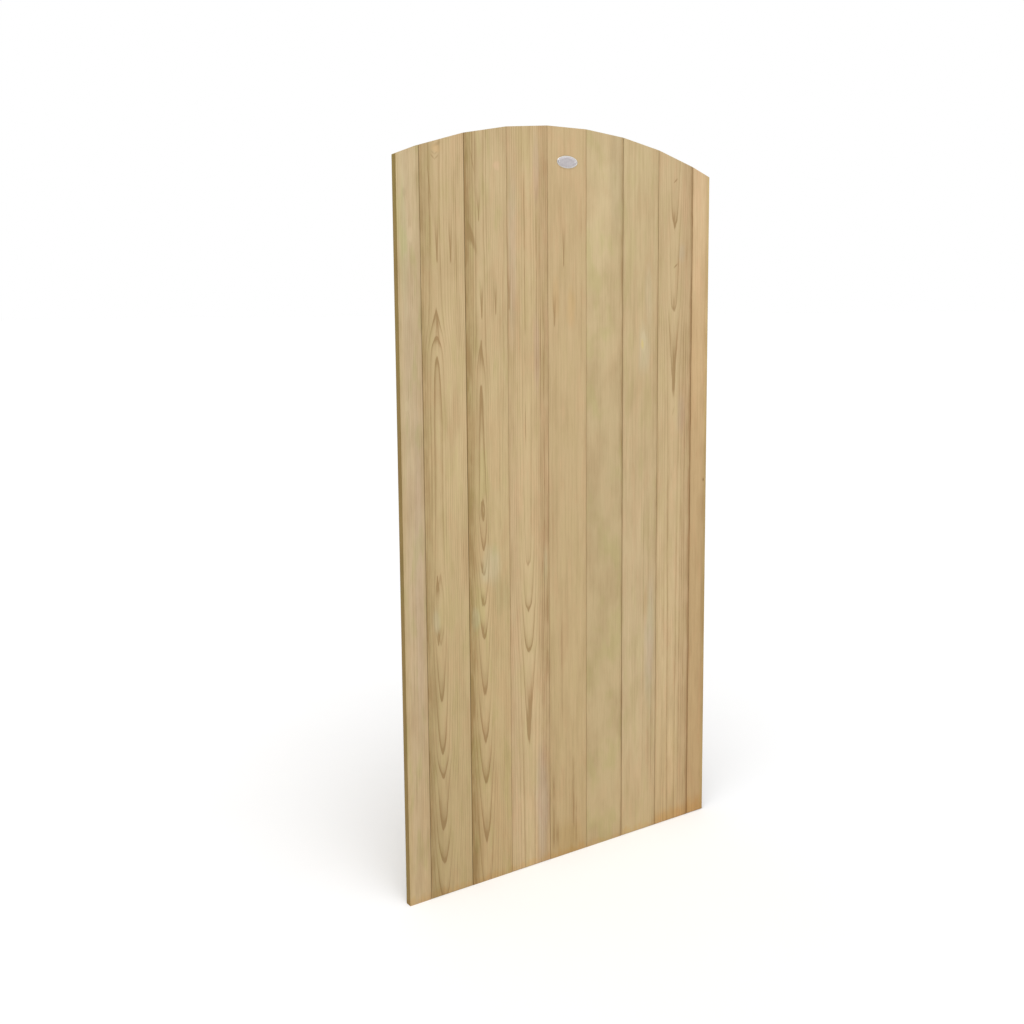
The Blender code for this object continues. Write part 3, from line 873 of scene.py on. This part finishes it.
def make_board(index, edges):
    name = f"board_{index + 1}"
    low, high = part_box(name)
    last = len(edges) - 2
    outline = ripped_side(low.x, 1)[::-1] if index == 0 else groove_side(low.x)
    body = list(range(len(outline)))
    if index == last:
        outline += ripped_side(high.x, -1)
        loops = [list(range(len(outline)))]
    else:
        right, (before, width) = tongue_side(high.x - TONGUE_LENGTH)
        root = len(outline) + before
        heel = root + width - 1
        outline += right
        body += [*range(len(body), root + 1), *range(heel, len(outline))]
        loops = [body, list(range(root, heel + 1))]
    rails = []
    for x, y in outline:
        rails.append((Vector((x, y, low.z)), Vector((x, y, top_height(x, edges)))))
    material = board_wood(index + 1, edges[index], edges[index + 1])
    mesh = bar(name, rails, loops, SAWN_ARRIS)
    return make_piece(f"{name}_planed", mesh, [name], [material])


# Ledges and braces


def timber_section(width, thick):
    """(across, depth) corners of a timber with rounded arrises, about its middle."""
    outline = []
    for quarter, (side, face) in enumerate(((1, 1), (-1, 1), (-1, -1), (1, -1))):
        centre = (side * (width / 2 - TIMBER_ARRIS), face * (thick / 2 - TIMBER_ARRIS))
        start = quarter * 90
        outline += arc_points(centre, TIMBER_ARRIS, start, start + 90, ROUNDING_STEPS)
    return outline


def make_timber(name, section, middle, along, over, cut, seed):
    """A timber along a direction; cut gives the distances at which a line meets its ends."""
    rails = []
    for across, depth in section:
        line = over * across + Vector((0.0, depth, 0.0))
        start, end = cut(line)
        rails.append((middle + line + along * start, middle + line + along * end))
    mesh = bar(name, rails, [list(range(len(rails)))], TIMBER_END_ARRIS)
    back_face = middle + Vector((0.0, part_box(name)[1].y - middle.y, 0.0))
    axes = (over, Vector((0.0, -1.0, 0.0)), along)
    material = timber_wood(name, back_face, axes, seed)
    return make_piece(f"{name}_sawn", mesh, [name], [material])


def make_ledge(name, seed):
    low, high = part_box(name)
    middle = (low + high) / 2
    half = (high.x - low.x) / 2
    section = timber_section(high.z - low.z, high.y - low.y)
    along, over = Vector((1.0, 0.0, 0.0)), Vector((0.0, 0.0, 1.0))
    return make_timber(name, section, middle, along, over, lambda line: (-half, half), seed)


def make_brace(name, width, seed):
    """A diagonal that fills its box corner to corner, with level ends."""
    low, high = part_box(name)
    middle = (low + high) / 2
    span, rise = high.x - low.x, high.z - low.z
    angle = math.atan2(rise, span) + math.asin(width / math.hypot(span, rise))
    along = Vector((math.cos(angle), 0.0, math.sin(angle)))
    over = Vector((-math.sin(angle), 0.0, math.cos(angle)))

    def cut(line):
        return (-rise / 2 - line.z) / along.z, (rise / 2 - line.z) / along.z

    section = timber_section(width, high.y - low.y)
    return make_timber(name, section, middle, along, over, cut, seed)


# Screws, pins and the holes for them

TO_BACK = Matrix.Rotation(-math.pi / 2, 4, "X")
TO_FRONT = Matrix.Rotation(math.pi / 2, 4, "X")


def cross_angles():
    """Angles round a cross-shaped recess: its arms' corners, and steps between them."""
    corner = math.degrees(math.atan2(RECESS_ARM, RECESS_REACH))
    steps = (-corner, -corner / 2, 0.0, corner / 2, corner, 30.0, 38.0, 45.0, 52.0, 60.0)
    return [math.radians(90 * arm + step) for arm in range(4) for step in steps]


def cross_radius(angle):
    """Distance from the middle to the edge of the cross at angle."""
    turn = abs((angle + math.pi / 4) % (math.pi / 2) - math.pi / 4)
    if turn <= math.atan2(RECESS_ARM, RECESS_REACH) + 1e-6:
        return RECESS_REACH / math.cos(turn)
    return RECESS_ARM / math.sin(turn)


def screw_mesh():
    """A countersunk wood screw with a cross recess and a rolled thread, head at level 0."""
    bm = bmesh.new()
    angles = cross_angles()

    def ring(radius_at, level_at):
        points = []
        for angle in angles:
            radius = radius_at(angle)
            place = (radius * math.cos(angle), radius * math.sin(angle), level_at(angle))
            points.append(bm.verts.new(place))
        return points

    def plain(radius, level):
        return ring(lambda angle: radius, lambda angle: level)

    def level(height):
        return lambda angle: height

    cone = SCREW_HEAD_RADIUS - SCREW_SHANK_RADIUS
    rings = [
        [bm.verts.new((0.0, 0.0, -RECESS_DEPTH))],
        ring(lambda angle: cross_radius(angle) * 0.45, level(-RECESS_DEPTH * 0.8)),
        ring(lambda angle: cross_radius(angle) * 0.94, level(-0.10 * MM)),
        ring(lambda angle: cross_radius(angle) * 1.04, level(0.0)),
        plain(SCREW_HEAD_RADIUS - 0.15 * MM, 0.0),
        plain(SCREW_HEAD_RADIUS, -0.12 * MM),
        plain(SCREW_SHANK_RADIUS, -cone),
    ]
    thread_top = SCREW_THREAD - SCREW_LENGTH
    rings.append(plain(SCREW_SHANK_RADIUS, thread_top + SCREW_PITCH))
    steps = int((SCREW_THREAD - SCREW_POINT) / SCREW_PITCH * THREAD_STEPS)
    for step in range(steps + 1):
        height = thread_top - step * SCREW_PITCH / THREAD_STEPS
        grow = min(1.0, step / THREAD_START_STEPS)

        def thread(angle, height=height, grow=grow):
            turn = (height / SCREW_PITCH - angle / math.tau) % 1.0
            crest = max(0.0, 1.0 - abs(turn - 0.5) * 4.0) * grow
            return SCREW_CORE_RADIUS + crest * (SCREW_SHANK_RADIUS - SCREW_CORE_RADIUS)

        rings.append(ring(thread, level(height)))
    rings.append([bm.verts.new((0.0, 0.0, -SCREW_LENGTH))])
    join_rings(bm, rings)
    return smooth(finish_mesh("screw", bm), 38)


def screw_hole_mesh():
    """The room a screw needs, open past the timber's face."""
    cone = SCREW_HEAD_RADIUS - SCREW_SHANK_RADIUS
    slant = SCREW_HOLE_SLACK * math.sqrt(2)
    mouth = SCREW_HOLE_SLACK + HOLE_OVERRUN
    bore = SCREW_SHANK_RADIUS + SCREW_HOLE_SLACK
    bottom = -SCREW_LENGTH - SCREW_HOLE_SLACK
    profile = (
        (0.0, mouth),
        (SCREW_HEAD_RADIUS + slant + mouth, mouth),
        (bore, SCREW_HOLE_SLACK - slant - cone),
        (bore, bottom),
        (0.0, bottom),
    )
    return finish_mesh("screw_hole", lathe(profile, HOLE_SIDES))


def make_screws(material):
    """All the screws, each turned to its own angle, and the joined shape of their holes."""
    chance = random.Random(SCREW_TURN_SEED)
    mesh, hole = screw_mesh(), screw_hole_mesh()
    mesh.materials.append(material)
    holes = bmesh.new()
    for name in SCREW_NAMES:
        low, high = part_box(name)
        place = Matrix.Translation(middle_at(low, high, high.y)) @ TO_BACK
        turn = Matrix.Rotation(chance.uniform(0.0, math.pi / 2), 4, "Z")
        piece = make_piece(f"{name}_driven", mesh, [name], [])
        piece.matrix_world = place @ turn
        copy = hole.copy()
        copy.transform(place)
        holes.from_mesh(copy)
        bpy.data.meshes.remove(copy)
    return finish_mesh("screw_holes", holes)


def make_pins(material):
    """The two domed pins of the badge, and the joined shape of their holes."""
    dome = []
    for degrees in (90, 75, 60, 45, 30, 15):
        angle = math.radians(degrees)
        dome.append((PIN_HEAD_RADIUS * math.cos(angle), PIN_HEAD * math.sin(angle)))
    dome[0] = (0.0, PIN_HEAD)
    holes = bmesh.new()
    for name in PIN_NAMES:
        low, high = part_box(name)
        length = high.y - low.y - PIN_HEAD
        place = Matrix.Translation(middle_at(low, high, low.y + PIN_HEAD)) @ TO_FRONT
        shank = [
            (PIN_HEAD_RADIUS, 0.0),
            (PIN_RADIUS, 0.0),
            (PIN_RADIUS, PIN_POINT - length),
            (0.0, -length),
        ]
        mesh = smooth(finish_mesh(name, lathe(dome + shank, PIN_SIDES)), 35)
        make_piece(f"{name}_driven", mesh, [name], [material]).matrix_world = place
        bore, bottom = PIN_RADIUS + GAP, -length - GAP
        profile = ((0.0, PIN_HEAD), (bore, PIN_HEAD), (bore, bottom), (0.0, bottom))
        hole = finish_mesh("pin_hole", lathe(profile, PIN_SIDES))
        hole.transform(place)
        holes.from_mesh(hole)
    return finish_mesh("pin_holes", holes)


def cut_holes(pieces, holes):
    """Takes the holes out of every piece's mesh."""
    cutter = add_object("hole_cutter", holes)
    for piece in pieces:
        modifier = piece.modifiers.new("Holes", "BOOLEAN")
        modifier.operation = "DIFFERENCE"
        modifier.solver = "EXACT"
        modifier.object = cutter
    bpy.context.view_layer.update()
    graph = bpy.context.evaluated_depsgraph_get()
    for piece in pieces:
        mesh = bpy.data.meshes.new_from_object(piece.evaluated_get(graph))
        piece.modifiers.clear()
        piece.data = smooth(mesh, 40)
    bpy.data.objects.remove(cutter)


# Badge

BADGE_SIDES = 128
BADGE_PROFILE_MM = (
    # (inset from the edge, height) from the back to the panel's border
    (0.00, 0.00), (0.00, 0.75), (0.12, 1.02), (0.35, 1.17), (0.65, 1.20),
    (1.15, 1.18), (1.45, 1.08), (1.70, 0.86), (2.00, 0.78), (2.60, 0.77),
    (2.80, 0.90), (3.05, 0.93), (3.30, 0.90), (3.50, 0.77),
)
BADGE_RIM_RINGS = 8  # rings of the profile that are polished rim
BADGE_DOME = 0.08 * MM
BADGE_DOME_RINGS = 5
BAND_HALF_LENGTH = 15.0 * MM  # a plain raised band across the panel
BAND_HALF_HEIGHT = 2.4 * MM
BAND_FOOT = 0.60 * MM
BAND_TOP = 1.05 * MM
BAND_BEVEL = 0.20 * MM
BAND_END_STEPS = 12


def badge_mesh(half_width, half_height):
    """A blank oval plate: a rolled rim, a fine raised line inside it and a faint dome."""
    bm = bmesh.new()
    ovals = [(0.0, 0.0, 0.0)]
    for inset, level in BADGE_PROFILE_MM:
        ovals.append((half_width - inset * MM, half_height - inset * MM, level * MM))
    wide, high, level = ovals[-1]
    for ring in range(1, BADGE_DOME_RINGS + 1):
        share = 1.0 - ring / BADGE_DOME_RINGS
        ovals.append((wide * share, high * share, level + BADGE_DOME * (1.0 - share**2)))
    join_rings(bm, [oval_ring(bm, *oval, BADGE_SIDES) for oval in ovals])
    panel_edge = half_width - BADGE_PROFILE_MM[BADGE_RIM_RINGS][0] * MM
    wide_to_high = panel_edge / (half_height - BADGE_PROFILE_MM[BADGE_RIM_RINGS][0] * MM)
    for face in bm.faces:
        centre = face.calc_center_median()
        reach = math.hypot(centre.x, centre.y * wide_to_high)
        face.material_index = int(reach < panel_edge and centre.z > 0.5 * MM)
    add_band(bm)
    return smooth(finish_mesh("badge", bm), 50)


def add_band(bm):
    """A closed bar with round ends, its foot let into the panel."""
    reach = BAND_HALF_LENGTH - BAND_HALF_HEIGHT
    rings = []
    for inset, level in ((0.0, BAND_FOOT), (0.0, BAND_TOP - BAND_BEVEL), (BAND_BEVEL, BAND_TOP)):
        radius = BAND_HALF_HEIGHT - inset
        ends = arc_points((reach, 0.0), radius, -90, 90, BAND_END_STEPS)
        ends += arc_points((-reach, 0.0), radius, 90, 270, BAND_END_STEPS)
        rings.append([bm.verts.new((x, y, level)) for x, y in ends])
    join_rings(bm, rings)
    bm.faces.new(rings[0])
    bm.faces.new(rings[-1])


def make_badge(materials):
    low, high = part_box("badge")
    mesh = badge_mesh((high.x - low.x) / 2, (high.z - low.z) / 2)
    badge = make_piece("badge_plate", mesh, ["badge"], materials)
    badge.matrix_world = Matrix.Translation(middle_at(low, high, high.y)) @ TO_FRONT
    return badge


# Metals


def metal(name, colour, worn, roughness, scale, relief):
    """Metal with fine brushed streaks, faint clouds and small scuffs."""
    graph = Graph(name)
    brush = graph.vector("MULTIPLY", graph.place, (scale, scale * 12.0, scale * 12.0))
    streaks = graph.noise(brush, 3.0, 0.6)
    patches = graph.vector("MULTIPLY", graph.place, (scale * 0.9,) * 3)
    clouds = graph.noise(patches, 3.0, 0.6)
    tone = graph.mix(graph.fade(clouds, 0.35, 0.70), colour, worn)
    shade = graph.mix(graph.times(streaks, 0.35), tone, tuple(part * 0.72 for part in colour))
    graph.surface("Base Color", shade)
    graph.surface("Metallic", 1.0)
    rough = graph.add(graph.times(clouds, 0.18), graph.times(streaks, 0.10))
    graph.surface("Roughness", graph.add(rough, roughness - 0.14))
    graph.bump(graph.add(streaks, clouds), relief, 0.5)
    return graph.material


# Stage

FLOOR_RADIUS = 200.0
FLOOR_SIDES = 96
FLOOR_GRAIN = (3.0, 3.0, 3.0)
FLOOR_DROP = 0.2 * MM  # below the gate's foot
SKY_SEEN = 1.0
SKY_LIGHT = 0.50
KEY_STRENGTH = 2.1
KEY_SPREAD = 50.0
KEY_ELEVATION = 65.0
KEY_AZIMUTH = -34.0
CAMERA_PLACE = (-1.684, -2.267, 1.378)
CAMERA_YAW = 34.1
CAMERA_PITCH = -7.0
CAMERA_ROLL = -0.48
CAMERA_SHIFT = -0.06
CAMERA_LENS = 40.74
SENSOR_WIDTH = 36.0


def make_floor():
    bm = bmesh.new()
    bmesh.ops.create_circle(bm, cap_ends=True, segments=FLOOR_SIDES, radius=FLOOR_RADIUS)
    mesh = finish_mesh("floor", bm)
    graph = Graph("floor_paint")
    grain = graph.noise(graph.vector("MULTIPLY", graph.place, FLOOR_GRAIN), 3.0)
    paint = graph.mix(grain, (0.93, 0.93, 0.93), (0.95, 0.95, 0.95))
    graph.surface("Base Color", paint)
    graph.surface("Roughness", 0.9)
    graph.surface("Specular IOR Level", 0.0)
    mesh.materials.append(graph.material)
    floor = add_object("floor", mesh)
    floor.location.z = LOW.z - FLOOR_DROP


def make_sky():
    """White to the camera, and a dimmer even light on the gate."""
    world = bpy.data.worlds.new("sky")
    world.use_nodes = True
    tree = world.node_tree
    sky = tree.nodes["Background"]
    sky.inputs["Color"].default_value = (1.0, 1.0, 1.0, 1.0)
    seen = tree.nodes.new("ShaderNodeLightPath").outputs["Is Camera Ray"]
    level = tree.nodes.new("ShaderNodeMapRange")
    level.inputs["To Min"].default_value = SKY_LIGHT
    level.inputs["To Max"].default_value = SKY_SEEN
    tree.links.new(seen, level.inputs["Value"])
    tree.links.new(level.outputs["Result"], sky.inputs["Strength"])
    bpy.context.scene.world = world


def make_camera():
    yaw, pitch, roll = map(math.radians, (CAMERA_YAW, CAMERA_PITCH, CAMERA_ROLL))
    flat = math.cos(pitch)
    ahead = Vector((math.sin(yaw) * flat, math.cos(yaw) * flat, math.sin(pitch)))
    level = Vector((math.cos(yaw), -math.sin(yaw), 0.0))
    upright = level.cross(ahead)
    right = level * math.cos(roll) + upright * math.sin(roll)
    up = upright * math.cos(roll) - level * math.sin(roll)
    data = bpy.data.cameras.new("camera")
    data.sensor_width = SENSOR_WIDTH
    data.lens = CAMERA_LENS
    data.shift_y = CAMERA_SHIFT
    camera = add_object("camera", data)
    turn = Matrix((right, up, -ahead)).transposed().to_4x4()
    camera.matrix_world = Matrix.Translation(CAMERA_PLACE) @ turn
    bpy.context.scene.camera = camera


def make_key():
    """One wide, even light from high behind the camera."""
    light = bpy.data.lights.new("key", "SUN")
    light.energy = KEY_STRENGTH
    light.angle = math.radians(KEY_SPREAD)
    obj = add_object("key", light)
    obj.rotation_euler = (math.radians(90.0 - KEY_ELEVATION), 0.0, math.radians(KEY_AZIMUTH))


def make_stage():
    make_floor()
    make_sky()
    make_key()
    bpy.context.scene.view_settings.view_transform = "Standard"


def main():
    make_camera()
    make_stage()
    edges = board_edges()
    boards = [make_board(index, edges) for index in range(len(BOARD_NAMES))]
    timbers = [make_ledge(name, seed) for seed, name in enumerate(LEDGE_NAMES, LEDGE_SEED)]
    low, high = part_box("ledge_middle")
    for seed, name in enumerate(BRACE_NAMES, BRACE_SEED):
        timbers.append(make_brace(name, high.z - low.z, seed))

    zinc = metal("zinc_plate", (0.66, 0.58, 0.38), (0.72, 0.68, 0.55), 0.34, 260.0, 0.02 * MM)
    rim = metal("badge_rim", (0.86, 0.86, 0.83), (0.92, 0.92, 0.89), 0.30, 160.0, 0.02 * MM)
    panel = metal("badge_panel", (0.76, 0.71, 0.73), (0.84, 0.80, 0.81), 0.45, 220.0, 0.04 * MM)
    cut_holes(boards + timbers, make_screws(zinc))
    badge = make_badge([rim, panel])
    cut_holes([badge, boards[len(boards) // 2]], make_pins(rim))
    for piece in boards + timbers:
        even_shading(piece)


main()
